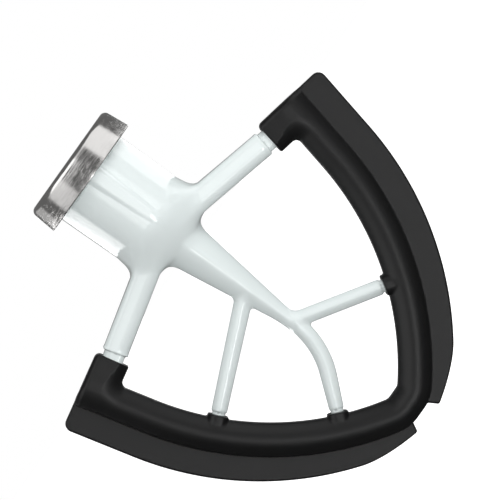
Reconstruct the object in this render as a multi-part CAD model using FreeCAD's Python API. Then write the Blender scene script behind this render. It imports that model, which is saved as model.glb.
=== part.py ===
import FreeCAD, Part
import math
import os

# Flat beater for a tilt-head stand mixer: a coated casting, a steel collar and a moulded scraper.
# +Z runs up the drive axis and X across the blade. Y runs through its thickness, and the front
# faces -Y. The origin is the middle of the shaft socket's mouth. All lengths are in millimetres.

# Shaft socket: a bore for a 12.7 mm shaft, with an L-shaped slot for the shaft's cross pin
SHAFT_RADIUS = 6.35
SHAFT_CLEARANCE = 0.1
SOCKET_DEPTH = 27.0
PIN_SLOT_WIDTH = 5.0
PIN_SLOT_REACH = 11.2
PIN_SLOT_DEPTH = 14.5
PIN_POCKET_HEIGHT = 5.5
PIN_POCKET_TURN = 40.0

# Hub and stem, one turned form that narrows to the lower spoke
MOUTH_RADIUS = 12.8
HUB_TOP_RADIUS = 16.3
HUB_FOOT_RADIUS = 15.9
HUB_FOOT_LEVEL = -35.0
HUB_FOOT_ROUND = 5.0
STEM_TOP_RADIUS = 7.75
STEM_TOP_LEVEL = -46.0
STEM_TOP_ROUND = 12.0
STEM_FOOT_LEVEL = -84.0
STEM_FOOT_ROUND = 30.0
RIDGE_WIDTH = 6.4
RIDGE_FOOT_WIDTH = 3.8
RIDGE_PROUD = 1.1
RIDGE_ROUND = 0.9
RIDGE_SHIFT = 1.6

# Steel collar, a pressed cap that widens towards its foot
COLLAR_TOP_RADIUS = 19.85
COLLAR_FOOT_RADIUS = 20.65
COLLAR_HEIGHT = 9.3
COLLAR_SHEET = 0.9
COLLAR_CORNER = 2.0
COLLAR_LIP = 0.8
COLLAR_HOLE_GAP = 0.2

# Arms, which slope down from the hub and get thinner towards their ends
ARM_SLOPE = 14.2
ARM_LEVEL = -37.5
ARM_HEIGHT = 8.3
ARM_REACH = 40.4
ARM_ROOT_THICKNESS = 20.0
ARM_END_THICKNESS = 10.0
ARM_TOP_ROUND = 2.0
ARM_LOWER_ROUND = 3.4
ARM_END_ROUND = 0.6
ARM_BLEND = 4.0
NECK_STEP = 0.5

# Spokes: the level on the drive axis and the angle below the level of each, and their radii
LEFT_SPOKE_LEVEL = -70.0
LEFT_SPOKE_SLOPE = 23.2
RIGHT_SPOKE_LEVEL = -88.3
RIGHT_SPOKE_SLOPE = 33.4
LEFT_SPOKE_RADIUS = 2.95
RIGHT_SPOKE_RADIUS = 2.62
SPOKE_END_RADIUS = 2.6
SPOKE_END_ROUND = 1.3
SPOKE_BLEND = 1.5
LOWER_SPOKE_RADIUS = 2.75
LOWER_SPOKE_END_RADIUS = 2.45
LOWER_SPOKE_BEND = 29.0
LOWER_SPOKE_TURN = 41.2
LOWER_SPOKE_START = -88.5
SPOKE_NECK_RADIUS = 2.1
SPOKE_NECK_LENGTH = 0.7

# Bow of the rim, given by the inner edge of the scraper's tube
BEND_HALF_WIDTH = 45.9
BEND_LEVEL = -67.5
BOW_LEAN = 13.25
BOW_RADIUS = 97.6
TIP_FLAT = 3.2
TIP_RADIUS = 3.2

# Scraper: a tube over the rim, a sleeve over each arm's end, and two wings
TUBE_WIDTH = 10.9
TUBE_THICKNESS = 13.0
TUBE_SLOPE = 3.4
CROWN_ROUND = 1.8
SLEEVE_SLOPE = 11.5
SLEEVE_HEIGHT = 11.3
SLEEVE_START = 43.2
WINDOW_CORNER = 2.2
WING_WIDTH = 8.8
WING_NARROWING = 8.3
WING_THICKNESS = 2.1
WING_LIFT = 0.3
WING_CORNER = 2.8
WING_EDGE_ROUND = 0.7
WING_FOOT_DROP = 3.2
WING_FOOT_SLOPE = 12.0
WING_KINK_ROUND = 4.0
NOTCH_CORNER = 0.6
NOTCH_FOOT_WIDTH = 11.4
NOTCH_TOP_WIDTH = 7.8
BOSS_RADIUS = 3.4
BOSS_PROUD = 1.1
BOSS_THICKNESS = 9.4

# Rim casting inside the tube
RIM_COVER = 2.4
RIM_THICKNESS = 8.0
RIM_CHAMFER = 1.2


def vector(x, z, y=0.0):
    return FreeCAD.Vector(x, y, z)


def polar(angle):
    """A unit vector in the XZ plane, at an angle in degrees below the level."""
    turn = math.radians(angle)
    return vector(math.cos(turn), -math.sin(turn))


def meet(point, along, other, other_along):
    """Where two lines of the XZ plane cross."""
    gap = other - point
    cross = along.x * other_along.z - along.z * other_along.x
    reach = (gap.x * other_along.z - gap.z * other_along.x) / cross
    return point + along * reach


def line(start, end):
    return Part.LineSegment(start, end).toShape()


def arc(centre, radius, first, last):
    """An arc about a centre, from one angle below the level to another."""
    points = [centre + polar(a) * radius for a in (first, (first + last) / 2, last)]
    return Part.Arc(*points).toShape()


def rounded_path(corners):
    """Edges of an open path. A corner is (point, radius), and takes a tangent arc of its radius."""
    edges = []
    here = corners[0][0]
    for before, (point, radius), after in zip(corners, corners[1:], corners[2:]):
        if radius == 0:
            edges.append(line(here, point))
            here = point
            continue
        back = (before[0] - point).normalize()
        ahead = (after[0] - point).normalize()
        half = math.acos(back.dot(ahead)) / 2
        run = radius / math.tan(half)
        middle = point + (back + ahead).normalize() * (radius / math.sin(half) - radius)
        edges.append(line(here, point + back * run))
        edges.append(Part.Arc(point + back * run, middle, point + ahead * run).toShape())
        here = point + ahead * run
    edges.append(line(here, corners[-1][0]))
    return edges


def mirrored(edges):
    return [edge.mirror(vector(0, 0), vector(1, 0)) for edge in edges]


def face_of(edges):
    return Part.Face(Part.Wire(Part.__sortEdges__(edges)))


def slab(edges, front, back):
    """A closed outline in the XZ plane, as a solid between two places in Y."""
    face = face_of(edges)
    face.translate(vector(0, 0, front))
    return face.extrude(vector(0, 0, back - front))


def turned(corners):
    """A body of revolution about the drive axis, from a profile whose ends lie on that axis."""
    edges = rounded_path(corners)
    edges.append(line(corners[-1][0], corners[0][0]))
    return face_of(edges).revolve(vector(0, 0), vector(0, 1), 360)


def half_turned(shape):
    """The same shape on the other side of the drive axis, front to back."""
    return shape.copy().rotate(vector(0, 0), vector(0, 1), 180)


def edges_at(shape, outline, place):
    """The edges of a shape that lie on an outline's edges, moved to a place in Y."""
    spots = [e.valueAt((e.FirstParameter + e.LastParameter) / 2) for e in outline]
    targets = [Part.Vertex(vector(s.x, s.z, place)) for s in spots]
    return [e for e in shape.Edges if any(e.distToShape(t)[0] < 1e-4 for t in targets)]


BORE_RADIUS = SHAFT_RADIUS + SHAFT_CLEARANCE
ARM_AXIS = polar(ARM_SLOPE)
ARM_NORMAL = polar(ARM_SLOPE - 90)
SLEEVE_AXIS = polar(SLEEVE_SLOPE)
SLEEVE_NORMAL = polar(SLEEVE_SLOPE - 90)
BOW_OUT = polar(BOW_LEAN)
BOW_UP = polar(BOW_LEAN - 90)
BEND_POINT = vector(BEND_HALF_WIDTH, BEND_LEVEL)
BOW_CENTRE = BEND_POINT - BOW_OUT * BOW_RADIUS
TIP_START = math.degrees(math.acos((TIP_FLAT / 2 - BOW_CENTRE.x) / (BOW_RADIUS - TIP_RADIUS)))
TIP_CENTRE = BOW_CENTRE + polar(TIP_START) * (BOW_RADIUS - TIP_RADIUS)


def arm_centre(x):
    """A point on the arm's centre line."""
    return vector(x, ARM_LEVEL - x * math.tan(math.radians(ARM_SLOPE)))


SLEEVE_CENTRE = arm_centre(SLEEVE_START)


def bow_bend(offset):
    """Where a line parallel to the tube's inner edge stops being straight."""
    return BEND_POINT + BOW_OUT * offset


def bow_arcs(offset):
    """The curved stretches of that line, down to the flat at the tip."""
    return [
        arc(BOW_CENTRE, BOW_RADIUS + offset, BOW_LEAN, TIP_START),
        arc(TIP_CENTRE, TIP_RADIUS + offset, TIP_START, 90),
    ]


def tip_flat(offset):
    end = TIP_CENTRE + polar(90) * (TIP_RADIUS + offset)
    return line(end, vector(-end.x, end.z))


def shoulder(height):
    """A point on a line along the sleeve, at a height from the sleeve's middle."""
    return SLEEVE_CENTRE + SLEEVE_NORMAL * height


def shoulder_meets_bow(height, offset):
    return meet(shoulder(height), SLEEVE_AXIS, bow_bend(offset), BOW_UP)


def collar_side(inset, level):
    """A point on the collar's flared side, or on a line inside it."""
    flare = (COLLAR_FOOT_RADIUS - COLLAR_TOP_RADIUS) / COLLAR_HEIGHT
    return vector(COLLAR_TOP_RADIUS - inset - flare * level, level)


def make_collar():
    outer = collar_side(0, 0)
    inner = collar_side(COLLAR_SHEET, -COLLAR_SHEET)
    hole = MOUTH_RADIUS + COLLAR_HOLE_GAP
    outline = rounded_path([
        (vector(hole, 0), 0),
        (outer, COLLAR_CORNER),
        (collar_side(0, -COLLAR_HEIGHT), 0),
        (collar_side(COLLAR_SHEET, -COLLAR_HEIGHT), 0),
        (inner, COLLAR_CORNER - COLLAR_SHEET),
        (vector(hole, -COLLAR_SHEET), 0),
        (vector(hole, 0), 0),
    ])
    return face_of(outline).revolve(vector(0, 0), vector(0, 1), 360)


def make_hub_and_stem():
    """The hub with its flange under the collar, narrowing to the stem."""
    inner = collar_side(COLLAR_SHEET, -COLLAR_SHEET)
    under = COLLAR_LIP - COLLAR_HEIGHT
    return turned([
        (vector(0, 0), 0),
        (vector(MOUTH_RADIUS, 0), 0),
        (vector(MOUTH_RADIUS, -COLLAR_SHEET), 0),
        (inner, COLLAR_CORNER - COLLAR_SHEET),
        (collar_side(COLLAR_SHEET, under), 0),
        (vector(HUB_TOP_RADIUS, under), 0),
        (vector(HUB_FOOT_RADIUS, HUB_FOOT_LEVEL), HUB_FOOT_ROUND),
        (vector(STEM_TOP_RADIUS, STEM_TOP_LEVEL), STEM_TOP_ROUND),
        (vector(LOWER_SPOKE_RADIUS, STEM_FOOT_LEVEL), STEM_FOOT_ROUND),
        (vector(LOWER_SPOKE_RADIUS, LOWER_SPOKE_START), 0),
        (vector(0, LOWER_SPOKE_START), 0),
    ])


def make_ridge():
    """The raised wall of the pin slot, which runs down the front of the hub and sinks into it."""
    sections = []
    top = (COLLAR_LIP - COLLAR_HEIGHT, HUB_TOP_RADIUS + RIDGE_PROUD, RIDGE_WIDTH)
    foot = (HUB_FOOT_LEVEL, HUB_FOOT_RADIUS, RIDGE_FOOT_WIDTH)
    for level, reach, width in (top, foot):
        half = width / 2
        corners = [(-half, -PIN_SLOT_REACH), (half, -PIN_SLOT_REACH), (half, -reach), (-half, -reach)]
        points = [vector(x + RIDGE_SHIFT, level, y) for x, y in corners]
        sections.append(Part.makePolygon(points + points[:1]))
    ridge = Part.makeLoft(sections, True, True)
    front = [e for e in ridge.Edges if e.BoundBox.ZLength > 1 and e.BoundBox.YMax < -HUB_FOOT_RADIUS + 1]
    return ridge.makeFillet(RIDGE_ROUND, front)


def make_arm():
    """The right arm: its outline from the front, thinned towards the end as seen from above."""
    half = ARM_NORMAL * (ARM_HEIGHT / 2)
    root = arm_centre(0)
    end = arm_centre(ARM_REACH)
    corners = [root + half, end + half, end - half, root - half, root + half]
    outline = [line(a, b) for a, b in zip(corners, corners[1:])]
    arm = slab(outline, -ARM_ROOT_THICKNESS / 2, ARM_ROOT_THICKNESS / 2)
    far = ARM_REACH + ARM_HEIGHT
    taper = (ARM_ROOT_THICKNESS - ARM_END_THICKNESS) / 2 / ARM_REACH
    wide = ARM_ROOT_THICKNESS / 2
    thin = wide - taper * far
    low = arm_centre(far).z - ARM_HEIGHT
    plan = [vector(0, low, -wide), vector(far, low, -thin), vector(far, low, thin), vector(0, low, wide)]
    wedge = Part.Face(Part.makePolygon(plan + plan[:1])).extrude(vector(0, -low))
    arm = arm.common(wedge)
    for side, radius in ((1, ARM_TOP_ROUND), (-1, ARM_LOWER_ROUND)):
        spot = arm_centre(ARM_REACH / 2) + half * side
        long_edges = [e for e in arm.Edges if e.BoundBox.XLength > ARM_REACH / 2
                      and abs(e.CenterOfMass.z - spot.z) < ARM_HEIGHT / 4]
        arm = arm.makeFillet(radius, long_edges)
    end_face = max(arm.Faces, key=lambda f: f.CenterOfMass.x)
    return arm.makeFillet(ARM_END_ROUND, end_face.Edges)


def blended(base, additions, radius):
    """The pieces as one casting, with a fillet where an addition comes out of the base."""
    casting = base.fuse(additions).Solids[0]
    joints = []
    for edge in casting.Edges:
        spot = Part.Vertex(edge.valueAt((edge.FirstParameter + edge.LastParameter) / 2))
        on_base = base.Shells[0].distToShape(spot)[0] < 1e-4
        on_addition = any(a.Shells[0].distToShape(spot)[0] < 1e-4 for a in additions)
        if on_base and on_addition:
            joints.append(edge)
    return casting.makeFillet(radius, joints)


class Spoke:
    """A spoke's line, from where it starts to the inner edge of the scraper's tube."""

    def __init__(self, start, along):
        self.start = start
        self.along = along
        edges = [line(shoulder_meets_bow(0, 0), bow_bend(0))] + bow_arcs(0)
        edge_of_tube = Part.Wire(Part.__sortEdges__(edges + [tip_flat(0)] + mirrored(edges)))
        ray = line(start, start + along * BOW_RADIUS * 2)
        self.reach = (ray.distToShape(edge_of_tube)[1][0][0] - start).Length
        self.length = self.reach - BOSS_PROUD - SPOKE_NECK_LENGTH

    def rod(self, root_radius, end_radius):
        """The bare spoke, with its end rounded over."""
        slope = (root_radius - end_radius) / self.length
        if abs(slope) < 1e-9:
            rod = Part.makeCylinder(root_radius, self.length, self.start, self.along)
        else:
            rod = Part.makeCone(root_radius, end_radius, self.length, self.start, self.along)
        tip = self.start + self.along * self.length
        rim = [e for e in rod.Edges if e.Closed and (e.Curve.Center - tip).Length < 1e-3]
        return rod.makeFillet(SPOKE_END_ROUND, rim)

    def neck(self):
        """The thin stretch that goes through the scraper into the rim."""
        back = SPOKE_END_ROUND
        length = self.reach + RIM_COVER * 1.5 - self.length + back
        return Part.makeCylinder(SPOKE_NECK_RADIUS, length, self.start + self.along * (self.length - back),
                                 self.along)

    def boss(self):
        """The scraper's raised ring where the spoke goes in."""
        length = BOSS_PROUD + TUBE_SLOPE
        boss = Part.makeBox(BOSS_RADIUS * 2, BOSS_THICKNESS, length)
        boss.translate(FreeCAD.Vector(-BOSS_RADIUS, -BOSS_THICKNESS / 2, 0))
        boss = boss.makeFillet(BOSS_RADIUS * 0.8, [e for e in boss.Edges if e.BoundBox.ZLength > length / 2])
        turn = FreeCAD.Rotation(FreeCAD.Vector(0, 0, 1), self.along)
        place = self.start + self.along * (self.reach - BOSS_PROUD)
        boss.Placement = FreeCAD.Placement(place, turn)
        return boss


def make_spokes():
    left = Spoke(vector(0, LEFT_SPOKE_LEVEL), polar(180 - LEFT_SPOKE_SLOPE))
    right = Spoke(vector(0, RIGHT_SPOKE_LEVEL), polar(RIGHT_SPOKE_SLOPE))
    centre = vector(-LOWER_SPOKE_BEND, LOWER_SPOKE_START)
    lower = Spoke(centre + polar(LOWER_SPOKE_TURN) * LOWER_SPOKE_BEND, polar(90 + LOWER_SPOKE_TURN))
    return left, right, lower


def lower_bend():
    """The curved stretch between the stem and the straight end of the lower spoke."""
    ring = Part.Edge(Part.Circle(vector(0, LOWER_SPOKE_START), vector(0, 1), LOWER_SPOKE_RADIUS))
    centre = vector(-LOWER_SPOKE_BEND, LOWER_SPOKE_START)
    return Part.Face(Part.Wire([ring])).revolve(centre, vector(0, 0, 1), LOWER_SPOKE_TURN)


def band(inner, outer, top):
    """The closed outline of a band along the bow, from the shoulders round the tip."""
    high_outer = shoulder_meets_bow(top, outer)
    high_inner = shoulder_meets_bow(top, inner)
    side = [line(high_inner, high_outer)]
    side += [line(high_outer, bow_bend(outer))] + bow_arcs(outer)
    side += [line(high_inner, bow_bend(inner))] + bow_arcs(inner)
    return side + mirrored(side) + [tip_flat(inner), tip_flat(outer)]


def make_rim():
    """The part of the casting that the scraper hides: the bow, and a neck from each arm to it."""
    outline = band(RIM_COVER, TUBE_WIDTH - RIM_COVER, SLEEVE_HEIGHT / 2 - RIM_COVER)
    rim = slab(outline, -RIM_THICKNESS / 2, RIM_THICKNESS / 2)
    faces = [f for f in rim.Faces if f.BoundBox.YLength < 1e-6]
    rim = rim.makeChamfer(RIM_CHAMFER, [e for f in faces for e in f.Edges])
    half = ARM_NORMAL * (ARM_HEIGHT / 2 - NECK_STEP)
    start = arm_centre(ARM_REACH - ARM_END_ROUND * 2)
    end = meet(arm_centre(0), ARM_AXIS, bow_bend(RIM_COVER * 1.5), BOW_UP)
    corners = [start + half, end + half, end - half, start - half, start + half]
    outline = [line(a, b) for a, b in zip(corners, corners[1:])]
    thickness = ARM_END_THICKNESS - NECK_STEP * 2
    neck = slab(outline, -thickness / 2, thickness / 2)
    long_edges = [e for e in neck.Edges if e.BoundBox.XLength > (end - start).Length / 2]
    neck = neck.makeFillet(ARM_TOP_ROUND, long_edges)
    return rim.fuse([neck, half_turned(neck)])


def cut_socket(casting):
    """The shaft's bore, with a slot down one side that turns into a pocket for the cross pin."""
    bore = Part.makeCylinder(BORE_RADIUS, SOCKET_DEPTH, vector(0, -SOCKET_DEPTH), vector(0, 1))
    slot = Part.makeBox(PIN_SLOT_WIDTH, PIN_SLOT_REACH, PIN_SLOT_DEPTH + 1)
    slot.translate(vector(-PIN_SLOT_WIDTH / 2, -PIN_SLOT_DEPTH, -PIN_SLOT_REACH))
    slot_side = math.degrees(math.asin(PIN_SLOT_WIDTH / 2 / BORE_RADIUS))
    foot = vector(0, -PIN_SLOT_DEPTH)
    pocket = Part.makeCylinder(PIN_SLOT_REACH, PIN_POCKET_HEIGHT, foot, vector(0, 1),
                               PIN_POCKET_TURN + slot_side)
    pocket.rotate(vector(0, 0), vector(0, 1), -90)
    ceiling = Part.makeCylinder(PIN_SLOT_REACH, PIN_SLOT_DEPTH + 1, foot, vector(0, 1))
    return casting.cut([bore, slot.common(ceiling), pocket])


def make_frame(spokes):
    hub = make_hub_and_stem()
    arm = make_arm()
    casting = blended(hub, [arm, half_turned(arm)], ARM_BLEND)
    left, right, lower = spokes
    bend = lower_bend()
    casting = casting.fuse(bend).Solids[0]
    left_rod = left.rod(LEFT_SPOKE_RADIUS, SPOKE_END_RADIUS)
    right_rod = right.rod(RIGHT_SPOKE_RADIUS, SPOKE_END_RADIUS)
    casting = blended(casting, [left_rod, right_rod], SPOKE_BLEND)
    pieces = [lower.rod(LOWER_SPOKE_RADIUS, LOWER_SPOKE_END_RADIUS)]
    pieces += [spoke.neck() for spoke in spokes]
    pieces += [make_ridge(), make_rim()]
    return cut_socket(casting.fuse(pieces))


def make_tube():
    """The scraper's tube and sleeves: one outline, with its long edges sloped and its crown rounded."""
    half = SLEEVE_HEIGHT / 2
    corner = shoulder_meets_bow(half, TUBE_WIDTH)
    end_top = shoulder(half)
    end_foot = shoulder(-half)
    window = shoulder_meets_bow(-half, 0)
    top = [line(corner, end_top)]
    end = [line(end_top, end_foot)]
    outer = [line(bow_bend(TUBE_WIDTH), corner)] + bow_arcs(TUBE_WIDTH)
    inner = rounded_path([(end_foot, 0), (window, WINDOW_CORNER), (bow_bend(0), 0)]) + bow_arcs(0)
    slopes = outer + inner + mirrored(outer + inner) + [tip_flat(0), tip_flat(TUBE_WIDTH)]
    outline = slopes + top + end + mirrored(top + end)
    faces = (-TUBE_THICKNESS / 2, TUBE_THICKNESS / 2)
    tube = slab(outline, *faces)
    sloped = [e for place in faces for e in edges_at(tube, slopes, place)]
    tube = tube.makeChamfer(TUBE_SLOPE, sloped)
    crowns = [f for f in tube.Faces if f.BoundBox.YLength < 1e-6]
    return tube.makeFillet(CROWN_ROUND, [e for f in crowns for e in f.Edges])


def make_wing():
    """The right wing, a flat blade beyond the tube that narrows towards the notch at the tip."""
    root = TUBE_WIDTH - TUBE_SLOPE
    edge = TUBE_WIDTH + WING_WIDTH
    root_top = shoulder_meets_bow(SLEEVE_HEIGHT / 2, root)
    corner = shoulder_meets_bow(SLEEVE_HEIGHT / 2, edge)
    radius = BOW_RADIUS + edge - WING_NARROWING
    centre = bow_bend(edge) - BOW_OUT * radius
    notch = vector(NOTCH_TOP_WIDTH / 2, TIP_CENTRE.z - TIP_RADIUS - TUBE_WIDTH)
    foot = vector(NOTCH_FOOT_WIDTH / 2, notch.z - WING_FOOT_DROP)
    notch += (notch - foot) * 0.5
    out = polar(-WING_FOOT_SLOPE)
    half_chord = (foot - centre).dot(out)
    run = math.sqrt(half_chord ** 2 - (foot - centre).dot(foot - centre) + radius ** 2) - half_chord
    kink = foot + out * run
    kink_angle = math.degrees(math.atan2(centre.z - kink.z, kink.x - centre.x))
    hidden = [line(bow_bend(root), root_top)] + bow_arcs(root)
    hidden.append(line(TIP_CENTRE + polar(90) * (TIP_RADIUS + root), notch))
    outline = hidden + [
        line(root_top, corner),
        line(corner, bow_bend(edge)),
        arc(centre, radius, BOW_LEAN, kink_angle),
        line(kink, foot),
        line(foot, notch),
    ]
    front = -TUBE_THICKNESS / 2 + TUBE_SLOPE - WING_LIFT
    wing = slab(outline, front, front + WING_THICKNESS)
    for point, rounding in ((corner, WING_CORNER), (kink, WING_KINK_ROUND), (foot, NOTCH_CORNER)):
        here = Part.Vertex(vector(point.x, point.z, front + WING_THICKNESS / 2))
        wing = wing.makeFillet(rounding, [e for e in wing.Edges if e.distToShape(here)[0] < 1e-4])
    faces = (front, front + WING_THICKNESS)
    kept = [e.hashCode() for place in faces for e in edges_at(wing, hidden, place)]
    flat = [f for f in wing.Faces if f.BoundBox.YLength < 1e-6]
    free = [e for f in flat for e in f.Edges if e.hashCode() not in kept]
    return wing.makeFillet(WING_EDGE_ROUND, free)


def make_scraper(frame, spokes):
    """The moulding, solid from its outside to the casting that it covers."""
    wing = make_wing()
    pieces = [wing, half_turned(wing)] + [s.boss() for s in spokes]
    return make_tube().fuse(pieces).cut(frame)


def main():
    os.makedirs("parts", exist_ok=True)
    spokes = make_spokes()
    frame = make_frame(spokes)
    pieces = {
        "beater_frame": frame,
        "hub_collar": make_collar(),
        "silicone_scraper": make_scraper(frame, spokes),
    }
    for name, shape in pieces.items():
        shape.exportStep("parts/" + name + ".step")
        print(name, "valid" if shape.isValid() else "not valid", len(shape.Solids), "solid", shape.Volume)


main()
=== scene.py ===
"""A flat beater: a glossy pale casting, a brushed steel collar and a black silicone scraper.

Every length in the pieces' functions is in millimetres, in the part's own frame: +Z up the drive
axis, X across the blade and the front at -Y. A mesh is brought to metres where it is made.
"""
import math

import bpy
import numpy as np
from mathutils import Matrix, Vector


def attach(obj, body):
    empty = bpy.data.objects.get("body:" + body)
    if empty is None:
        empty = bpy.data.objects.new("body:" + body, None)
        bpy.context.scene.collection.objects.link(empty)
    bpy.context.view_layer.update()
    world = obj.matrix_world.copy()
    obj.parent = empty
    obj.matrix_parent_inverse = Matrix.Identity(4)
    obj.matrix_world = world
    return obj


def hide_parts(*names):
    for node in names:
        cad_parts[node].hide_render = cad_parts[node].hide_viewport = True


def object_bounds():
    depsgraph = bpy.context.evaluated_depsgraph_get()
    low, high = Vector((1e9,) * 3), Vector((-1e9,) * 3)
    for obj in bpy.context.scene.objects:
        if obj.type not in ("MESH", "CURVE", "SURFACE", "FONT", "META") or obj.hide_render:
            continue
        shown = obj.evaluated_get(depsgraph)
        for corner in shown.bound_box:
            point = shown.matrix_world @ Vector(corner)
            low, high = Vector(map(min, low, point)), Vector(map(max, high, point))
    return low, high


METRE = 0.001

# Hub, stem and collar
MOUTH_RADIUS = 12.8
HUB_TOP_RADIUS = 16.3
HUB_FOOT_RADIUS = 15.9
HUB_FOOT_LEVEL = -35.0
HUB_FOOT_ROUND = 9.0
STEM_TOP_RADIUS = 7.75
STEM_TOP_LEVEL = -46.0
STEM_TOP_ROUND = 12.0
STEM_FOOT_LEVEL = -84.0
STEM_FOOT_ROUND = 30.0
STEM_OVERRUN = 8.0          # how far its cone runs on, inside the lower spoke
HUB_FOOT_TURN = 36.0        # degrees between the hub's side and the cone at its foot
STEM_TOP_TURN = 29.0        # degrees between that cone and the stem
STEM_FOOT_TURN = 8.0        # degrees between the stem and the lower spoke
COLLAR_TOP_RADIUS = 19.85
COLLAR_FOOT_RADIUS = 20.65
COLLAR_HEIGHT = 9.3
COLLAR_SHEET = 0.9
COLLAR_CORNER = 2.0
COLLAR_LIP = 0.8
COLLAR_HOLE_RADIUS = 13.0
COLLAR_EDGE_ROUND = 0.3
FLANGE_SIDE_GAP = 0.12      # between the flange and the inside of the collar
FLANGE_TOP_GAP = 0.05
FLANGE_TOP_ROUND = 1.1
SPIGOT_LENGTH = 6.0

# Socket, with its slot and pocket for a cross pin
BORE_RADIUS = 6.45
SOCKET_DEPTH = 27.0
PIN_SLOT_WIDTH = 5.0
PIN_SLOT_REACH = 11.2
PIN_SLOT_DEPTH = 14.5
PIN_POCKET_HEIGHT = 5.5
PIN_POCKET_END = -27.0      # degrees from +X
SOCKET_EDGE_ROUND = 0.35
SLOT_END_ROUND = 0.3

# Ridge down the front of the hub
RIDGE_SHIFT = 1.6
RIDGE_WIDTH = 6.4
RIDGE_FOOT_WIDTH = 3.8
RIDGE_PROUD = 1.1
RIDGE_ROUND = 1.3
RIDGE_FOOT_ROUND = 2.0
RIDGE_SINK = 0.3            # how far it ends below the cone at the hub's foot
RIDGE_BLEND = 0.7

# Arms
ARM_SLOPE = 14.2
ARM_LEVEL = -37.5
ARM_HEIGHT = 8.3
ARM_REACH = 41.0
ARM_ROOT_THICKNESS = 20.0
ARM_END_THICKNESS = 10.0
ARM_TOP_ROUND = 2.0
ARM_LOWER_ROUND = 3.9
ARM_END_ROUND = 0.6
ARM_BLEND_TOP = 6.8
ARM_BLEND_FOOT = 4.2
ARM_END_FLARE = 0.25
ARM_FLARE_RUN = 1.6
NECK_STEP = 0.7
NECK_START = 30.0

# Spokes
LEFT_SPOKE_LEVEL = -70.0
LEFT_SPOKE_SLOPE = 23.2
LEFT_SPOKE_RADIUS = 2.95
RIGHT_SPOKE_LEVEL = -88.3
RIGHT_SPOKE_SLOPE = 33.4
RIGHT_SPOKE_RADIUS = 2.62
SPOKE_END_RADIUS = 2.6
SPOKE_END_ROUND = 0.8
SPOKE_BLEND = 1.4
SPOKE_CUT = 1.0             # how far from its start a spoke's bare rod begins, inside the stem
SPOKE_LAP = 0.2             # how far the lower spoke's rod begins inside its bend
BAR_POWER = 1.5             # 2 would make the spokes and stem round, and 1 square on edge
BAR_SOFTNESS = 0.5          # how far their ridges are eased
BAR_TRIM = 0.175            # what the easing adds to their size, taken off again
SPOKE_NECK_RADIUS = 2.1
SPOKE_NECK_LENGTH = 0.7
LOWER_SPOKE_RADIUS = 2.75
LOWER_SPOKE_END_RADIUS = 2.45
LOWER_SPOKE_BEND = 29.0
LOWER_SPOKE_TURN = 41.2
LOWER_SPOKE_START = -88.5

# Bow of the rim
BEND_HALF_WIDTH = 45.9
BEND_LEVEL = -67.5
BOW_LEAN = 13.25
BOW_RADIUS = 97.6
TIP_FLAT = 3.2
TIP_RADIUS = 3.2
RIM_COVER = 2.4
RIM_THICKNESS = 8.0
RIM_EDGE_ROUND = 1.2
NECK_REACH = RIM_COVER * 1.5    # how far the necks go into the tube, to end inside the rim

# Scraper
TUBE_WIDTH = 10.9
TUBE_THICKNESS = 13.0
TUBE_SLOPE = 3.4
CROWN_ROUND = 1.8
CROWN_EDGE_ROUND = CROWN_ROUND * 1.4
CROWN_BLEND = 8.0           # evens out the tube's two slopes where they meet
TUBE_EDGE_ROUND = 0.5
SLEEVE_SLOPE = 11.5
SLEEVE_HEIGHT = 11.3
SLEEVE_START = 43.2
SLEEVE_END_STEP = 0.5
SLEEVE_END_SLOPE = 0.3
SLEEVE_END_BLEND = 3.0
WINDOW_CORNER = 2.2
WING_WIDTH = 8.8
WING_NARROWING = 8.3
WING_THICKNESS = 2.1
WING_LIFT = 0.3
WING_CORNER = 2.8
WING_EDGE_ROUND = 0.7
WING_FOOT_DROP = 3.2
WING_FOOT_SLOPE = 12.0
WING_KINK_ROUND = 4.0
NOTCH_CORNER = 0.6
NOTCH_FOOT_WIDTH = 11.4
NOTCH_TOP_WIDTH = 7.8
BOSS_RADIUS = 3.4
BOSS_PROUD = 1.1
BOSS_THICKNESS = 10.6
BOSS_SIDE_ROUND = BOSS_RADIUS * 0.8
BOSS_FACE_ROUND = 0.45
BOSS_END_ROUND = 0.3
BOSS_BLEND = 0.5
WING_CREASE = 0.3           # radius between the tube and a wing

# Grids of the two blended surfaces: low corner, high corner and step
CASTING_GRID = ((-60.4, -21.17, -138.3), (60.3, 21.2, 0.8), 0.55)
SCRAPER_GRID = ((-71, -7.5, -143), (71, 7.5, -41), 0.5)
SPREADING_PASSES = 3
PULLS = 3                   # moves onto the surface after each pass
LEAST_SLOPE = 0.05          # squared, so that a flat spot of a field throws no point away
NORMAL_REACH = 0.05         # half the distance over which the final normals are worked out
COLLAR_TURNS = 256

# Camera, round the middle of the picture
CAMERA_YAW = 0.0            # degrees towards the left end of the blade
CAMERA_ELEVATION = 2.8
CAMERA_ROLL = -54.588
CAMERA_DISTANCE = 1.3
CAMERA_AIM = (0.0107, 0.0, -0.0640)
PICTURE_SIDE = 500          # pixels
FOCAL_PIXELS = 4063.2
SENSOR = 36.0

# Stage, in metres
FLOOR_DROP = 0.055          # below the blade's tip
FLOOR_SIDE = 8.0
FLOOR_ROUGHNESS = 0.9
FLOOR_COLOUR = (0.72, 0.72, 0.72, 1)
FLOOR_COLOUR_SEEN = (0.93, 0.93, 0.93, 1)
FLOOR_GLOW_SEEN = (0.80, 0.80, 0.80, 1)
BLACK = (0, 0, 0, 1)
WHITE = (1, 1, 1, 1)

# Lamps: direction from the part in the camera's right, up and back, then distance and size in
# metres, and power in watts
LAMP_AIM = (0, 0, -0.07)
LAMPS = {
    "key": ((0.08, 0.85, 0.5), 0.9, (0.5, 0.4), 2.8),
    "front": ((-0.04, 0.10, 1.0), 1.1, (0.5, 0.3), 3.7),
    "back": ((-0.10, 0.45, -1.0), 1.1, (0.5, 0.3), 2.0),
}

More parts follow.
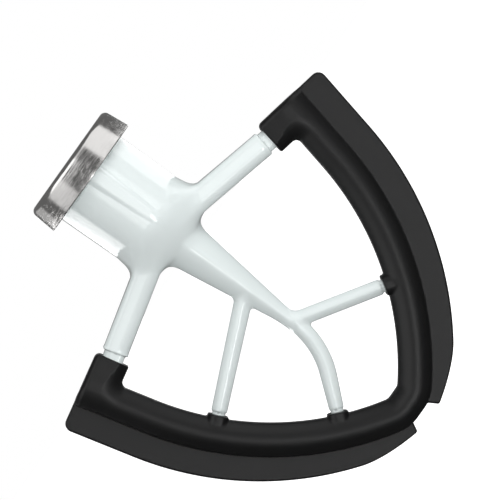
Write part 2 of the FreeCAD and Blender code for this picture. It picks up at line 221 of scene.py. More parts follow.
# Panels of the studio: from and to in degrees round the drive axis, 0 at the front and positive
# towards +X, from and to in the sine of the elevation, and the brightness
PANELS = (
    (-200, 200, -1.20, 0.00, 0.55),
    (-200, 200, -1.20, -0.50, 0.08),
    (-154, -110, 0.00, 0.28, 0.55),
    (-84, -30, 0.00, 0.30, 0.9),
    (37, 105, -0.02, 0.80, 1.25),
    (-76, 20, 0.26, 0.82, 1.8),
    (12, 45, 0.26, 0.80, 0.7),
    (-200, -24, -0.60, 0.00, 0.05),
    (-160, -86, -0.061, -0.003, 8.0),
    (50, 200, -0.80, -0.07, 0.08),
    (-28, 50, -0.13, 0.00, 2.8),
    (46, 84, -0.10, 0.00, 0.3),
    (80, 170, -0.10, 0.00, 3.5),
    (-4, 12, -0.55, -0.15, 10.0),
)
SIDE_EDGE = 8.0             # degrees over which a panel fades at its sides
TOP_EDGE = 0.02             # sine over which it fades at its top and foot
OPEN_STUDIO = 0.17          # above the level, between the panels
SOFT_LIGHT = 0.50           # of the studio on whatever isn't glossy

# Finishes, with the scales of their noise per metre and the depths of their bumps in metres
COATING_COLOUR = (0.776, 0.840, 0.835, 1)
COATING_ROUGHNESS = 0.12
COATING_IOR = 1.5
PEEL_NOISE = (420.0, 1.5)           # scale and detail
PEEL_BUMP = (0.00003, 0.35)         # depth and strength
STEEL_COLOUR = (0.62, 0.61, 0.60, 1)
STEEL_ROUGHNESS = 0.08
BRUSHED_NOISE = (1.0, 3.0, 0.6)     # scale, detail and roughness
LINE_STRETCH = (2.2, 2600.0, 60.0)  # of the noise, round the axis per radian, up it and across it
LINE_BUMP = (0.00005, 0.6)
STAIN_STRETCH = (7.0, 900.0, 60.0)
STAIN_RANGE = (0.3, 0.7)            # of the noise, from no stain to a full one
STAIN_ROUGHNESS = 0.14              # that a full stain adds
STAIN_HEIGHT = 0.4                  # of a line's
SILICONE_COLOUR = (0.0060, 0.0060, 0.0062, 1)
SILICONE_IOR = 1.42
SILICONE_SPECULAR = 0.36
SILICONE_ROUGHNESS = 0.36
PATCH_SCALE = 90.0
PATCH_ROUGHNESS = 0.06              # that a patch adds at most
GRAIN_NOISE = (1500.0, 3.0)
GRAIN_BUMP = (0.00003, 0.3)


def polar(angle):
    """A unit vector (x, z), at an angle in degrees below the level."""
    turn = math.radians(angle)
    return np.array([math.cos(turn), -math.sin(turn)])


HUB_FOOT = (HUB_FOOT_RADIUS, HUB_FOOT_LEVEL)
STEM_TOP = (STEM_TOP_RADIUS, STEM_TOP_LEVEL)
BOW_OUT = polar(BOW_LEAN)
BOW_UP = polar(BOW_LEAN - 90)
BEND_POINT = np.array([BEND_HALF_WIDTH, BEND_LEVEL])
BOW_CENTRE = BEND_POINT - BOW_OUT * BOW_RADIUS
TIP_START = math.degrees(math.acos((TIP_FLAT / 2 - BOW_CENTRE[0]) / (BOW_RADIUS - TIP_RADIUS)))
TIP_CENTRE = BOW_CENTRE + polar(TIP_START) * (BOW_RADIUS - TIP_RADIUS)
ARM_AXIS = polar(ARM_SLOPE)
ARM_NORMAL = polar(ARM_SLOPE - 90)
SLEEVE_AXIS = polar(SLEEVE_SLOPE)
SLEEVE_NORMAL = polar(SLEEVE_SLOPE - 90)
SLEEVE_CENTRE = np.array([
    SLEEVE_START, ARM_LEVEL - SLEEVE_START * math.tan(math.radians(ARM_SLOPE))])
WING_EDGE = TUBE_WIDTH + WING_WIDTH
WING_RADIUS = BOW_RADIUS + WING_EDGE - WING_NARROWING
WING_CENTRE = BEND_POINT + BOW_OUT * (WING_EDGE - WING_RADIUS)
NOTCH_POINT = np.array([NOTCH_TOP_WIDTH / 2, TIP_CENTRE[1] - TIP_RADIUS - TUBE_WIDTH])
WING_FOOT = np.array([NOTCH_FOOT_WIDTH / 2, NOTCH_POINT[1] - WING_FOOT_DROP])


def joined(a, b, radius):
    """The union of two fields, with a fillet of a radius where they meet."""
    corner = np.hypot(np.maximum(radius - a, 0), np.maximum(radius - b, 0))
    return np.maximum(radius, np.minimum(a, b)) - corner


def trimmed(a, b, radius):
    """What two fields have in common, with its edge rounded to a radius."""
    corner = np.hypot(np.maximum(radius + a, 0), np.maximum(radius + b, 0))
    return np.minimum(-radius, np.maximum(a, b)) + corner


def bar_size(side, front):
    """Distance from a bar's middle line, for a section with a soft ridge at the front and back.

    It is the root of the sum of both distances raised to a power below 2, each eased near nought.
    """
    size = np.hypot(side, BAR_SOFTNESS) ** BAR_POWER + np.hypot(front, BAR_SOFTNESS) ** BAR_POWER
    return size ** (1 / BAR_POWER) - BAR_TRIM


def beyond(x, z, point, direction):
    """How far (x, z) lies past a point, along a unit direction."""
    return (x - point[0]) * direction[0] + (z - point[1]) * direction[1]


def outward(x, z):
    """How far (x, z) lies outside the tube's inner edge: straight, bow, tip arc, then flat."""
    x = np.abs(x)
    place = beyond(x, z, BEND_POINT, BOW_OUT)
    on_bow = beyond(x, z, BOW_CENTRE, BOW_UP) < 0
    from_bow = np.hypot(x - BOW_CENTRE[0], z - BOW_CENTRE[1]) - BOW_RADIUS
    place = np.where(on_bow, from_bow, place)
    on_tip = np.arctan2(TIP_CENTRE[1] - z, x - TIP_CENTRE[0]) > math.radians(TIP_START)
    from_tip = np.hypot(x - TIP_CENTRE[0], z - TIP_CENTRE[1]) - TIP_RADIUS
    place = np.where(on_tip, from_tip, place)
    return np.where(x < TIP_CENTRE[0], TIP_CENTRE[1] - TIP_RADIUS - z, place)


def below_top(x, z):
    """How far (x, z) lies under the line along the sleeves' tops."""
    return SLEEVE_HEIGHT / 2 - beyond(np.abs(x), z, SLEEVE_CENTRE, SLEEVE_NORMAL)


class Spoke:
    """A straight spoke, from a start on the stem's line to the inner edge of the tube."""

    def __init__(self, start, angle, root_radius, end_radius, cut=SPOKE_CUT):
        self.start = np.asarray(start, float)
        self.along = polar(angle)
        self.side = polar(angle - 90)
        self.root_radius = root_radius
        self.end_radius = end_radius
        self.cut = cut
        # Where the spoke's line crosses the tube's inner edge, read from a fine row of points on it
        runs = np.linspace(5, BOW_RADIUS, 2000)
        line = self.start + runs[:, None] * self.along
        self.reach = np.interp(0, outward(line[:, 0], line[:, 1]), runs)
        self.length = self.reach - BOSS_PROUD - SPOKE_NECK_LENGTH

    def rod(self, x, y, z):
        """A tapering bar from the cut to a rounded end, and the thin neck beyond it."""
        run = beyond(x, z, self.start, self.along)
        side = beyond(x, z, self.start, self.side)
        share = np.clip(run / self.length, 0, 1)
        bar = bar_size(side, y) - self.root_radius - (self.end_radius - self.root_radius) * share
        bar = trimmed(bar, run - self.length, SPOKE_END_ROUND)
        bar = np.maximum(bar, self.cut - run)
        neck = np.hypot(side, y) - SPOKE_NECK_RADIUS
        neck = np.maximum(neck, np.abs(run - self.reach) - NECK_REACH)
        return np.minimum(bar, neck)

    def boss(self, x, y, z):
        """The scraper's raised ring: a box with round sides, where the spoke goes in."""
        run = beyond(x, z, self.start, self.along) - self.reach
        side = np.abs(beyond(x, z, self.start, self.side)) - BOSS_RADIUS
        ring = trimmed(side, np.abs(y) - BOSS_THICKNESS / 2, BOSS_SIDE_ROUND)
        ring = trimmed(ring, -run - BOSS_PROUD, BOSS_FACE_ROUND)
        return trimmed(ring, run - TUBE_SLOPE, BOSS_END_ROUND)


LOWER_BEND_CENTRE = np.array([-LOWER_SPOKE_BEND, LOWER_SPOKE_START])
LOWER_BEND_END = LOWER_BEND_CENTRE + polar(LOWER_SPOKE_TURN) * LOWER_SPOKE_BEND
LEFT_SPOKE = Spoke((0, LEFT_SPOKE_LEVEL), 180 - LEFT_SPOKE_SLOPE,
                   LEFT_SPOKE_RADIUS, SPOKE_END_RADIUS)
RIGHT_SPOKE = Spoke((0, RIGHT_SPOKE_LEVEL), RIGHT_SPOKE_SLOPE,
                    RIGHT_SPOKE_RADIUS, SPOKE_END_RADIUS)
LOWER_SPOKE = Spoke(LOWER_BEND_END, 90 + LOWER_SPOKE_TURN,
                    LOWER_SPOKE_RADIUS, LOWER_SPOKE_END_RADIUS, cut=-SPOKE_LAP)
SPOKES = (LEFT_SPOKE, RIGHT_SPOKE, LOWER_SPOKE)


def cone_side(off, z, top, foot):
    """Distance from a cone's side, given by two (radius, level) points."""
    slope = (top[0] - foot[0]) / (top[1] - foot[1])
    return (off - top[0] - slope * (z - top[1])) / math.hypot(1, slope)


def easing(radius, turn):
    """The radius that joined and trimmed need for an arc, where surfaces turn under 90 degrees."""
    turn = math.radians(turn)
    return radius * math.tan(turn / 2) * math.sin(turn)


def hub_and_stem(x, y, z):
    """A turned hub cut to a cone at its foot, joined to a stem that thins to the lower spoke."""
    off = np.hypot(x, y)
    side = cone_side(off, z, (HUB_TOP_RADIUS, 0), HUB_FOOT)
    foot = cone_side(off, z, HUB_FOOT, STEM_TOP)
    stem = cone_side(bar_size(x, y), z, STEM_TOP, (LOWER_SPOKE_RADIUS, STEM_FOOT_LEVEL))
    lower = joined(foot, stem, easing(STEM_TOP_ROUND, STEM_TOP_TURN))
    body = trimmed(side, lower, easing(HUB_FOOT_ROUND, HUB_FOOT_TURN))
    below_sheet = z + COLLAR_SHEET + 1
    return np.maximum(body, np.maximum(below_sheet, STEM_FOOT_LEVEL - STEM_OVERRUN - z))


def lower_spoke(x, y, z):
    """The stem's end, a bend to the side and the straight lower spoke, as one bar.

    Above its start, the bar's side is measured from the drive axis, and in the bend from an arc.
    """
    from_centre = np.hypot(x - LOWER_BEND_CENTRE[0], z - LOWER_BEND_CENTRE[1])
    turn = np.degrees(np.arctan2(LOWER_BEND_CENTRE[1] - z, x - LOWER_BEND_CENTRE[0]))
    side = np.where(z > LOWER_SPOKE_START, x, from_centre - LOWER_SPOKE_BEND)
    bend = np.maximum(bar_size(side, y) - LOWER_SPOKE_RADIUS, z - LEFT_SPOKE_LEVEL)
    bend = np.where(turn <= LOWER_SPOKE_TURN, bend, LOWER_SPOKE_RADIUS)
    return np.minimum(bend, LOWER_SPOKE.rod(x, y, z))


def arms(x, y, z):
    """Both arms, and the necks beyond them that the sleeves cover.

    An arm is a bar with rounded long edges that thins outward and flares at its very end.
    """
    x = np.abs(x)
    run = beyond(x, z, (0, ARM_LEVEL), ARM_AXIS)
    length = ARM_REACH / ARM_AXIS[0]
    height = beyond(x, z, (0, ARM_LEVEL), ARM_NORMAL)
    flare = ARM_END_FLARE * np.clip((run - length) / ARM_FLARE_RUN + 1, 0, 1) ** 2
    thinning = (ARM_END_THICKNESS - ARM_ROOT_THICKNESS) / 2 * x / ARM_REACH
    half = ARM_ROOT_THICKNESS / 2 + thinning + flare
    rounding = np.where(height > 0, ARM_TOP_ROUND, ARM_LOWER_ROUND)
    bar = trimmed(np.abs(height) - ARM_HEIGHT / 2 - flare, np.abs(y) - half, rounding)
    bar = trimmed(bar, run - length, ARM_END_ROUND)
    neck_side = np.abs(height) - ARM_HEIGHT / 2 + NECK_STEP
    neck_face = np.abs(y) - ARM_END_THICKNESS / 2 + NECK_STEP
    neck = trimmed(neck_side, neck_face, ARM_TOP_ROUND)
    neck = np.maximum(neck, np.maximum(outward(x, z) - NECK_REACH, NECK_START - x))
    return bar, neck


def ridge(x, y, z):
    """A bar with rounded edges along the hub's front, which narrows and sinks into its foot."""
    share = z / HUB_FOOT_LEVEL
    half = (RIDGE_WIDTH + (RIDGE_FOOT_WIDTH - RIDGE_WIDTH) * share) / 2
    reach = HUB_TOP_RADIUS + RIDGE_PROUD + (HUB_FOOT_RADIUS - HUB_TOP_RADIUS - RIDGE_PROUD) * share
    bar = trimmed(np.abs(x - RIDGE_SHIFT) - half, -y - reach, RIDGE_ROUND)
    foot = cone_side(np.hypot(x, y), z, HUB_FOOT, STEM_TOP)
    bar = trimmed(bar, foot + RIDGE_SINK, RIDGE_FOOT_ROUND)
    return np.maximum(bar, np.maximum(z + COLLAR_HEIGHT - COLLAR_LIP, y + PIN_SLOT_REACH))


def flange(x, y, z):
    """The disc under the collar and the short spigot through the collar's hole."""
    off = np.hypot(x, y)
    reach = COLLAR_TOP_RADIUS - COLLAR_SHEET - FLANGE_SIDE_GAP
    disc = trimmed(off - reach, z + COLLAR_SHEET + FLANGE_TOP_GAP, FLANGE_TOP_ROUND)
    disc = trimmed(disc, COLLAR_LIP - COLLAR_HEIGHT - z, COLLAR_EDGE_ROUND)
    spigot = trimmed(off - MOUTH_RADIUS, z, COLLAR_EDGE_ROUND)
    return np.minimum(disc, np.maximum(spigot, -SPIGOT_LENGTH - z))


def socket(x, y, z):
    """The bore with its slot, and the pocket at the slot's foot, as solids to cut away."""
    off = np.hypot(x, y)
    bore = np.maximum(off - BORE_RADIUS, -SOCKET_DEPTH - z)
    slot = np.maximum(np.abs(x) - PIN_SLOT_WIDTH / 2, np.maximum(y, -PIN_SLOT_DEPTH - z))
    side = math.radians(PIN_POCKET_END)
    sector = np.maximum(-(x + PIN_SLOT_WIDTH / 2), y * math.cos(side) - x * math.sin(side))
    half = PIN_POCKET_HEIGHT / 2
    pocket = np.maximum(sector, np.abs(z + PIN_SLOT_DEPTH - half) - half)
    return np.minimum(bore, trimmed(np.minimum(slot, pocket), off - PIN_SLOT_REACH, SLOT_END_ROUND))


def rim(x, y, z):
    """The hidden bow inside the tube."""
    place = outward(x, z)
    band = np.maximum(RIM_COVER - place, place - TUBE_WIDTH + RIM_COVER)
    band = np.maximum(band, RIM_COVER - below_top(x, z))
    return trimmed(band, np.abs(y) - RIM_THICKNESS / 2, RIM_EDGE_ROUND)


def casting_field(x, y, z):
    """The whole casting, with fillets where arms and spokes leave it, and the socket cut out.

    The fillet round an arm grows from its lower side to its top.
    """
    bars, necks = arms(x, y, z)
    height = beyond(np.abs(x), z, (0, ARM_LEVEL), ARM_NORMAL)
    share = np.clip(height / ARM_HEIGHT + 0.5, 0, 1)
    blend = ARM_BLEND_FOOT + (ARM_BLEND_TOP - ARM_BLEND_FOOT) * share
    body = joined(hub_and_stem(x, y, z), bars, blend)
    body = joined(body, lower_spoke(x, y, z), easing(STEM_FOOT_ROUND, STEM_FOOT_TURN))
    body = joined(body, LEFT_SPOKE.rod(x, y, z), SPOKE_BLEND)
    body = joined(body, RIGHT_SPOKE.rod(x, y, z), SPOKE_BLEND)
    body = joined(body, ridge(x, y, z), RIDGE_BLEND)
    body = np.minimum(body, np.minimum(necks, rim(x, y, z)))
    body = np.minimum(body, flange(x, y, z))
    return trimmed(body, -socket(x, y, z), SOCKET_EDGE_ROUND)


def tube(x, y, z):
    """The tube and sleeves: a slab over their outline, whose long edges slope from a flat crown.

    The slopes start at a level that grows with the distance from the nearest edge.
    """
    place = outward(x, z)
    foot = SLEEVE_HEIGHT / 2 + beyond(np.abs(x), z, SLEEVE_CENTRE, SLEEVE_NORMAL)
    end = beyond(np.abs(x), z, SLEEVE_CENTRE, SLEEVE_AXIS)
    top = below_top(x, z)
    outline = -joined(-place, -np.minimum(foot, end), WINDOW_CORNER)
    outline = np.minimum(outline, TUBE_WIDTH - place)
    end_slope = SLEEVE_END_SLOPE * end + TUBE_SLOPE - SLEEVE_END_STEP
    slope = -joined(-place, trimmed(-foot, -end_slope, SLEEVE_END_BLEND), WINDOW_CORNER)
    slope = -trimmed(-slope, place - TUBE_WIDTH, CROWN_BLEND)
    crown = np.abs(y) - TUBE_THICKNESS / 2
    side = (crown + TUBE_SLOPE - slope) / math.sqrt(2)
    body = trimmed(trimmed(crown, side, CROWN_EDGE_ROUND), -outline, TUBE_EDGE_ROUND)
    return trimmed(body, -top, CROWN_ROUND)


def wings(x, y, z):
    """Both wings: plates with rounded edges, in front on the right and behind on the left."""
    across = np.abs(x)
    edge = np.where(beyond(across, z, WING_CENTRE, BOW_UP) < 0,
                    np.hypot(across - WING_CENTRE[0], z - WING_CENTRE[1]) - WING_RADIUS,
                    beyond(across, z, BEND_POINT, BOW_OUT) - WING_EDGE)
    foot = beyond(across, z, WING_FOOT, polar(90 - WING_FOOT_SLOPE))
    notch_line = NOTCH_POINT - WING_FOOT
    notch_side = np.array([-notch_line[1], notch_line[0]]) / np.hypot(*notch_line)
    notch = beyond(across, z, WING_FOOT, notch_side)
    plan = trimmed(edge, -below_top(x, z), WING_CORNER)
    plan = trimmed(plan, foot, WING_KINK_ROUND)
    plan = trimmed(plan, notch, NOTCH_CORNER)
    plan = np.maximum(plan, TUBE_WIDTH - TUBE_SLOPE - outward(x, z))
    middle = TUBE_THICKNESS / 2 - TUBE_SLOPE + WING_LIFT - WING_THICKNESS / 2
    return trimmed(plan, np.abs(y + middle * np.sign(x)) - WING_THICKNESS / 2, WING_EDGE_ROUND)


def scraper_field(x, y, z):
    """The whole moulding, with a tight crease between the tube and each wing."""
    body = joined(tube(x, y, z), wings(x, y, z), WING_CREASE)
    for spoke in SPOKES:
        body = joined(body, spoke.boss(x, y, z), BOSS_BLEND)
    return body


def slope_of(field, points, reach=0.02):
    """A field's value and gradient at points, by central differences."""
    steps = np.eye(3) * reach
    sides = [(field(*(points + s).T) - field(*(points - s).T)) / (2 * reach) for s in steps]
    return field(*points.T), np.stack(sides, axis=1)


def grid_surface(field, low, high, step):
    """Points and four-sided faces of the closed surface where a field is nought, not yet smooth.

    The field is worked out on a grid. Each grid cell that the surface crosses gets one point, the
    mean of the crossings on its edges, and each grid edge that it crosses gets one face between
    the four cells round it.
    """
    axes = [np.arange(a, b + step, step) for a, b in zip(low, high)]
    grid = np.meshgrid(*[a.astype(np.float32) for a in axes], indexing="ij")
    values = field(*grid)
    inside = values < 0
    shape = np.array(values.shape) - 1
    offsets = np.array([[i, j, k] for i in (0, 1) for j in (0, 1) for k in (0, 1)])
    count = sum(inside[i:i + shape[0], j:j + shape[1], k:k + shape[2]].astype(np.int8)
                for i, j, k in offsets)
    active = (count > 0) & (count < 8)
    cells = np.argwhere(active)
    number = np.full(active.shape, -1)
    number[active] = np.arange(len(cells))
    total = np.zeros((len(cells), 3))
    hits = np.zeros(len(cells))
    for first in offsets:
        for axis in range(3):
            if first[axis]:
                continue
            second = first.copy()
            second[axis] = 1
            a = values[tuple((cells + first).T)]
            b = values[tuple((cells + second).T)]
            crossed = (a < 0) != (b < 0)
            share = np.where(crossed, a / np.where(crossed, a - b, 1), 0)
            total += crossed[:, None] * (first + share[:, None] * (second - first))
            hits += crossed
    points = np.array([a[0] for a in axes]) + (cells + total / hits[:, None]) * step
    faces = []
    for axis in range(3):
        u, v = (axis + 1) % 3, (axis + 2) % 3
        start = np.moveaxis(inside, axis, 0)[:-1]
        change = start != np.moveaxis(inside, axis, 0)[1:]
        where = np.moveaxis(np.argwhere(change), 1, 0)
        rest = [a for a in range(3) if a != axis]
        edge = np.empty((3, where.shape[1]), int)
        edge[axis], edge[rest[0]], edge[rest[1]] = where
        # Where the solid lies on the low side, the face looks along the axis
        outwards = start[tuple(where)]
        ring = []
        for du, dv in ((1, 1), (0, 1), (0, 0), (1, 0)):
            cell = edge.copy()
            cell[u] -= du
            cell[v] -= dv
            ring.append(number[tuple(cell)])
        ring = np.stack(ring, axis=1)
        ring[~outwards] = ring[~outwards][:, ::-1]
        faces.append(ring)
    return points, np.concatenate(faces)


def pulled(field, points, step):
    """Points moved onto a field's surface along its gradient, by up to half a grid step a time."""
    for _ in range(PULLS):
        value, slope = slope_of(field, points)
        size = np.maximum((slope ** 2).sum(axis=1), LEAST_SLOPE)[:, None]
        move = -slope * value[:, None] / size
        points = points + np.clip(move, -step / 2, step / 2)
    return points


def field_surface(field, low, high, step):
    """The closed surface where a field is nought: points, faces and normals.

    The grid's points are moved halfway to the mean of the faces round them, but only along the
    surface, and then onto it. The field's gradient gives the normals.
    """
    points, faces = grid_surface(field, low, high, step)
    corners = faces.ravel()
    shares = np.bincount(corners, minlength=len(points))[:, None]
    for _ in range(SPREADING_PASSES):
        middle = points[faces].mean(axis=1)
        total = [np.bincount(corners, np.repeat(middle[:, i], 4), len(points)) for i in range(3)]
        slope = slope_of(field, points)[1]
        size = np.maximum((slope ** 2).sum(axis=1), LEAST_SLOPE)[:, None]
        move = np.stack(total, 1) / shares - points
        move -= slope * (move * slope).sum(axis=1)[:, None] / size
        points = pulled(field, points + 0.5 * move, step)
    points = pulled(field, points, step)
    slope = slope_of(field, points, NORMAL_REACH)[1]
    normals = slope / np.maximum(np.linalg.norm(slope, axis=1), 1e-9)[:, None]
    return points, faces, normals


def make_piece(name, points, faces, normals, material, node, slot):
    """A mesh object in metres that stands for a node, shaded by its own normals."""
    mesh = bpy.data.meshes.new(name)
    mesh.from_pydata((points * METRE).tolist(), [], faces.tolist())
    mesh.shade_smooth()
    mesh.validate()
    if normals is not None:
        mesh.normals_split_custom_set_from_vertices(normals.tolist())
    mesh.materials.append(material)
    piece = bpy.data.objects.new(name, mesh)
    bpy.context.scene.collection.objects.link(piece)
    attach(piece, "root")
    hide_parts(node)


def collar_side(inset, level):
    """A point (radius, level) on the collar's flared side, or inside it."""
    flare = (COLLAR_FOOT_RADIUS - COLLAR_TOP_RADIUS) / COLLAR_HEIGHT
    return np.array([COLLAR_TOP_RADIUS - inset - flare * level, level])


def rounded(corners, steps=8):
    """Points of a closed profile whose corners, given as (point, radius), are rounded by arcs.

    An arc's points are those of its chord, moved out from the arc's centre to the radius.
    """
    line = []
    places = [np.asarray(p, float) for p, _ in corners]
    for index, (_, radius) in enumerate(corners):
        point = places[index]
        back = places[index - 1] - point
        ahead = places[(index + 1) % len(places)] - point
        back /= np.hypot(*back)
        ahead /= np.hypot(*ahead)
        half = math.acos(np.clip(back @ ahead, -1, 1)) / 2
        run = radius / math.tan(half)
        bisector = (back + ahead) / np.hypot(*(back + ahead))
        centre = point + bisector * radius / math.sin(half)
        share = np.linspace(0, 1, steps)[:, None]
        chord = (point + back * run) * (1 - share) + (point + ahead * run) * share - centre
        line.append(centre + chord / np.hypot(*chord.T)[:, None] * radius)
    return np.concatenate(line)


def collar_surface():
    """The collar's closed profile, turned about the drive axis on a grid."""
    profile = rounded([
        ((COLLAR_HOLE_RADIUS, 0), COLLAR_EDGE_ROUND),
        (collar_side(0, 0), COLLAR_CORNER),
        (collar_side(0, -COLLAR_HEIGHT), COLLAR_EDGE_ROUND),
        (collar_side(COLLAR_SHEET, -COLLAR_HEIGHT), COLLAR_EDGE_ROUND),
        (collar_side(COLLAR_SHEET, -COLLAR_SHEET), COLLAR_CORNER - COLLAR_SHEET),
        ((COLLAR_HOLE_RADIUS, -COLLAR_SHEET), COLLAR_EDGE_ROUND),
    ])
    angle = np.linspace(0, 2 * math.pi, COLLAR_TURNS, endpoint=False)[:, None]
    radius, level = profile.T
    points = np.stack([radius * np.cos(angle), radius * np.sin(angle), level + 0 * angle], axis=-1)
    number = np.arange(COLLAR_TURNS * len(profile)).reshape(COLLAR_TURNS, -1)
    after = np.roll(number, -1, axis=0)
    beside = np.roll(number, -1, axis=1)
    opposite = np.roll(after, -1, axis=1)
    faces = np.stack([number, beside, opposite, after], axis=-1)
    return points.reshape(-1, 3), faces.reshape(-1, 4)


class Link:
    """One output of a material's node, with arithmetic that adds Math nodes."""

    def __init__(self, tree, socket):
        self.tree = tree
        self.socket = socket

    def node(self, kind, settings=None, **inputs):
        """Any other node: its settings, then its sockets' values or links, by name or as i0, i1."""
        made = self.tree.nodes.new("ShaderNode" + kind)
        for name, value in (settings or {}).items():
            setattr(made, name, value)
        for name, value in inputs.items():
            key = int(name[1:]) if name[1:].isdigit() else name.replace("_", " ")
            socket = made.inputs[key]
            if isinstance(value, Link):
                self.tree.links.new(value.socket, socket)
            else:
                socket.default_value = value
        return made

    def maths(self, operation, *others):
        """A Math node on this value and others."""
        inputs = {"i%d" % index: value for index, value in enumerate((self,) + others)}
        return Link(self.tree, self.node("Math", {"operation": operation}, **inputs).outputs[0])

    def __add__(self, other):
        return self.maths("ADD", other)

    def __sub__(self, other):
        return self.maths("SUBTRACT", other)

    def __mul__(self, other):
        return self.maths("MULTIPLY", other)

    def __rsub__(self, other):
        return self.maths("MULTIPLY_ADD", -1.0, other)

    def between(self, low, high):
        """0 at low and 1 at high, with a smooth start and end."""
        made = self.node("MapRange", {"interpolation_type": "SMOOTHSTEP"}, Value=self, From_Min=low,
                         From_Max=high)
        return Link(self.tree, made.outputs[0])

    def parts(self):
        """The three parts of a vector."""
        made = self.node("SeparateXYZ", None, Vector=self)
        return [Link(self.tree, made.outputs[i]) for i in range(3)]

    def noise(self, scale, detail=2.0, rough=0.5):
        """Noise from 0 to 1 at these coordinates."""
        return Link(self.tree, self.node("TexNoise", None, Vector=self, Scale=scale, Detail=detail,
                                         Roughness=rough).outputs[0])

    def mix(self, first, second):
        """A colour between two, by this share."""
        made = self.node("Mix", {"data_type": "RGBA"}, i0=self, i6=first, i7=second)
        return Link(self.tree, made.outputs[2])

    def bump(self, distance, strength):
        """A normal tilted by this height, whose full step is a distance in metres."""
        return Link(self.tree, self.node("Bump", None, Height=self, Distance=distance,
                                         Strength=strength).outputs[0])


def start_material(name, **values):
    """A new material, its shader with its constants set, and its Object coordinates in metres."""
    material = bpy.data.materials.new(name)
    material.use_nodes = True
    tree = material.node_tree
    shader = tree.nodes["Principled BSDF"]
    for socket, value in values.items():
        shader.inputs[socket.replace("_", " ")].default_value = value
    return material, shader, Link(tree, tree.nodes.new("ShaderNodeTexCoord").outputs["Object"])


def feed(shader, name, link):
    """Leads a link into a shader's socket."""
    link.tree.links.new(link.socket, shader.inputs[name])


def coating_material():
    """A pale glossy coating with a faint orange-peel."""
    material, shader, place = start_material("pale_coating", Base_Color=COATING_COLOUR,
                                             Roughness=COATING_ROUGHNESS, IOR=COATING_IOR)
    feed(shader, "Normal", place.noise(*PEEL_NOISE).bump(*PEEL_BUMP))
    return material


def streaks(coordinates, stretch):
    """Noise over three coordinates, each of them stretched."""
    scaled = {axis: part * amount for axis, part, amount in zip("XYZ", coordinates, stretch)}
    joined = coordinates[0].node("CombineXYZ", None, **scaled)
    return Link(coordinates[0].tree, joined.outputs[0]).noise(*BRUSHED_NOISE)


def steel_material():
    """Steel brushed round the axis: long thin lines, and broader stains that change its polish."""
    material, shader, place = start_material("brushed_collar", Base_Color=STEEL_COLOUR,
                                             Metallic=1.0)
    x, y, z = place.parts()
    around = x.maths("ARCTAN2", y)
    lines = streaks((around, z, x), LINE_STRETCH)
    stains = streaks((around, z, y), STAIN_STRETCH)
    feed(shader, "Roughness", stains.between(*STAIN_RANGE) * STAIN_ROUGHNESS + STEEL_ROUGHNESS)
    feed(shader, "Normal", (lines + stains * STAIN_HEIGHT).bump(*LINE_BUMP))
    return material


def silicone_material():
    """Black silicone with a fine matt grain."""
    material, shader, place = start_material("black_silicone", Base_Color=SILICONE_COLOUR,
                                             IOR=SILICONE_IOR, Specular_IOR_Level=SILICONE_SPECULAR)
    grain = place.noise(*GRAIN_NOISE)
    feed(shader, "Roughness", place.noise(PATCH_SCALE) * PATCH_ROUGHNESS + SILICONE_ROUGHNESS)
    feed(shader, "Normal", grain.bump(*GRAIN_BUMP))
    return material


def make_camera():
    """The camera, turned about the object's axes. Returns its right, up and back directions."""
    data = bpy.data.cameras.new("camera")
    camera = bpy.data.objects.new("camera", data)
    bpy.context.scene.collection.objects.link(camera)
    yaw, tilt, roll = (math.radians(a) for a in (CAMERA_YAW, CAMERA_ELEVATION, CAMERA_ROLL))
    back = Vector((-math.sin(yaw) * math.cos(tilt), -math.cos(yaw) * math.cos(tilt),
                   math.sin(tilt)))
    level = Vector((math.cos(yaw), -math.sin(yaw), 0))
    right = level * math.cos(roll) + back.cross(level) * math.sin(roll)
    up = back.cross(right)
    place = Vector(CAMERA_AIM) + back * CAMERA_DISTANCE
    turn = Matrix((right, up, back)).transposed().to_4x4()
    camera.matrix_world = Matrix.Translation(place) @ turn
    data.sensor_width = SENSOR
    data.lens = SENSOR * FOCAL_PIXELS / PICTURE_SIDE
    data.clip_end = 100
    bpy.context.scene.camera = camera
    return right, up, back


def make_floor(level):
    """A wide pale floor. It is white to the eye, and dimmer in the light that it sends back."""
    half = FLOOR_SIDE / 2
    corners = [(-half, -half, level), (half, -half, level),
               (half, half, level), (-half, half, level)]
    mesh = bpy.data.meshes.new("floor")
    mesh.from_pydata(corners, [], [(0, 1, 2, 3)])
    floor = bpy.data.objects.new("floor", mesh)
    bpy.context.scene.collection.objects.link(floor)
    material, shader, place = start_material("pale_floor", Roughness=FLOOR_ROUGHNESS,
                                             Emission_Color=WHITE, Emission_Strength=1.0)
    seen = Link(place.tree, place.node("LightPath").outputs["Is Camera Ray"])
    feed(shader, "Base Color", seen.mix(FLOOR_COLOUR, FLOOR_COLOUR_SEEN))
    feed(shader, "Emission Color", seen.mix(BLACK, FLOOR_GLOW_SEEN))
    mesh.materials.append(material)
    floor.visible_glossy = False


def area_light(name, axes, towards, distance, size, power):
    """A soft lamp that gloss doesn't mirror, in a direction given along three axes."""
    data = bpy.data.lights.new(name, "AREA")
    data.shape = "RECTANGLE"
    data.size, data.size_y = size
    data.energy = power
    lamp = bpy.data.objects.new(name, data)
    lamp.visible_glossy = False
    bpy.context.scene.collection.objects.link(lamp)
    direction = sum((axis * amount for axis, amount in zip(axes, towards)), Vector()).normalized()
    turn = direction.to_track_quat("Z", "Y").to_matrix().to_4x4()
    lamp.matrix_world = Matrix.Translation(Vector(LAMP_AIM) + direction * distance) @ turn


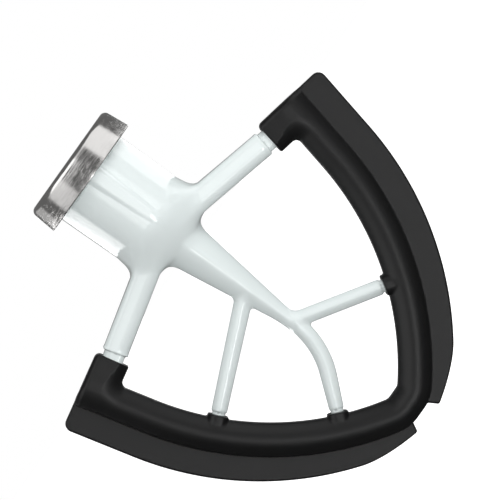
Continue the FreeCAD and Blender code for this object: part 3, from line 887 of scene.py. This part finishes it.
def make_world():
    """Pale and dark panels for gloss to mirror, an even light for the rest, white for the eye."""
    world = bpy.data.worlds.new("studio")
    bpy.context.scene.world = world
    world.use_nodes = True
    tree = world.node_tree
    place = Link(tree, tree.nodes.new("ShaderNodeTexCoord").outputs["Generated"])
    x, y, z = place.parts()
    turn = x.maths("ARCTAN2", y * -1.0) * math.degrees(1)
    strength = z * 0.0 + OPEN_STUDIO
    for left, right, low, high, value in PANELS:
        across = turn.between(left, left + SIDE_EDGE) - turn.between(right - SIDE_EDGE, right)
        mask = across * (z.between(low, low + TOP_EDGE) - z.between(high - TOP_EDGE, high))
        strength = strength * (1 - mask) + mask * value
    ray = place.node("LightPath")
    seen = Link(tree, ray.outputs["Is Camera Ray"])
    mirrored = Link(tree, ray.outputs["Is Glossy Ray"])
    strength = seen + (1 - seen) * (strength * mirrored + (1 - mirrored) * SOFT_LIGHT)
    shader = tree.nodes["Background"]
    shader.inputs["Color"].default_value = WHITE
    tree.links.new(strength.socket, shader.inputs["Strength"])


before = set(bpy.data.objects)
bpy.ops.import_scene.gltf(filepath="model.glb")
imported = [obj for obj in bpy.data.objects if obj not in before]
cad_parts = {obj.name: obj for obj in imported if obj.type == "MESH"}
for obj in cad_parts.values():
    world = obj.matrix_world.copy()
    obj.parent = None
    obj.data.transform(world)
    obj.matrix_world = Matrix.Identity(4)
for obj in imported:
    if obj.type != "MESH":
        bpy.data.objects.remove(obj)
cad_box = [list(corner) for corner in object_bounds()]
bpy.context.scene.view_settings.view_transform = "Standard"
view_axes = make_camera()
make_floor(cad_box[0][2] - FLOOR_DROP)
make_world()
for lamp_name, lamp in LAMPS.items():
    area_light(lamp_name, view_axes, *lamp)

casting = field_surface(casting_field, *CASTING_GRID)
make_piece("casting", *casting, coating_material(), "beater_frame", "coating")
scraper = field_surface(scraper_field, *SCRAPER_GRID)
make_piece("scraper", *scraper, silicone_material(), "silicone_scraper", "silicone")
make_piece("collar", *collar_surface(), None, steel_material(), "hub_collar", "steel")
